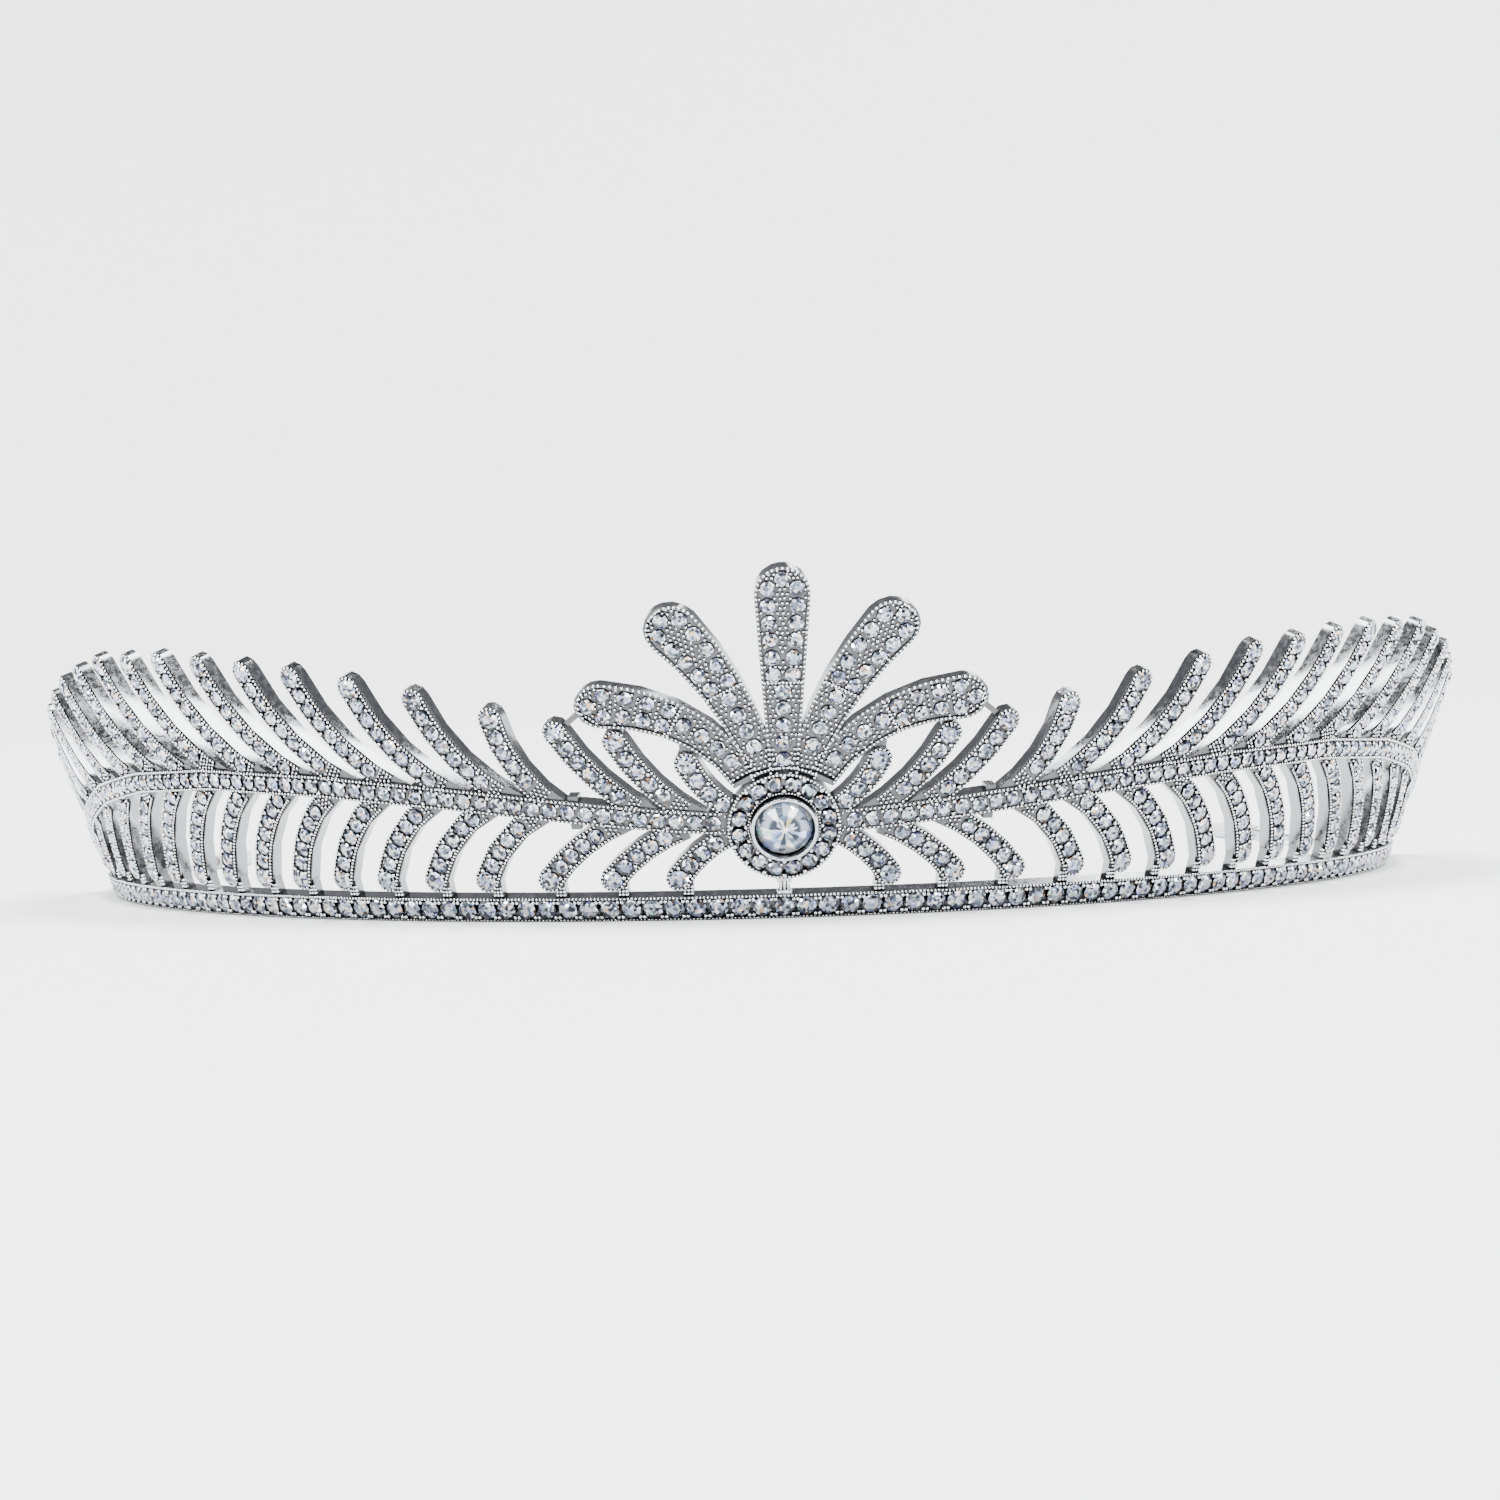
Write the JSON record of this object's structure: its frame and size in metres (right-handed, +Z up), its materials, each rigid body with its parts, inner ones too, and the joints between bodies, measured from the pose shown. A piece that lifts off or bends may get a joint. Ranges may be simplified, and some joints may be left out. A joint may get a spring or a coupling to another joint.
{
  "type": "tiara",
  "caption": "Open-backed pave tiara: a fan of plumes over a round halo stone, curved leaf pairs along both sides, an inner headband and looped end wires.",
  "frame": {"origin": "middle of the base bar's underside at the front", "axes": "+X to the wearer's left along the width, +Y from the front of the tiara back to its open ends, +Z up"},
  "size_m": [0.151, 0.1352, 0.0342],
  "materials": {
    "cast_metal": "bright plated casting, polished edges, beaded settings in front",
    "polished_metal": "mirror polished plating",
    "loop_plastic": "smooth translucent white coating",
    "stone": "clear faceted stone with a faint blue-grey tone"
  },
  "bodies": {
    "root": {"centre_casting": "cast_metal", "left_casting": "cast_metal", "right_casting": "cast_metal", "gallery_band": "polished_metal", "left_end_wire": "polished_metal", "right_end_wire": "polished_metal", "bezel": "polished_metal", "left_loop_cover": "loop_plastic", "right_loop_cover": "loop_plastic", "main_stone": "stone", "halo_stones": "stone", "plume_stones": "stone", "centre_bar_stones": "stone", "left_bar_stones": "stone", "right_bar_stones": "stone"}
  },
  "joints": []
}
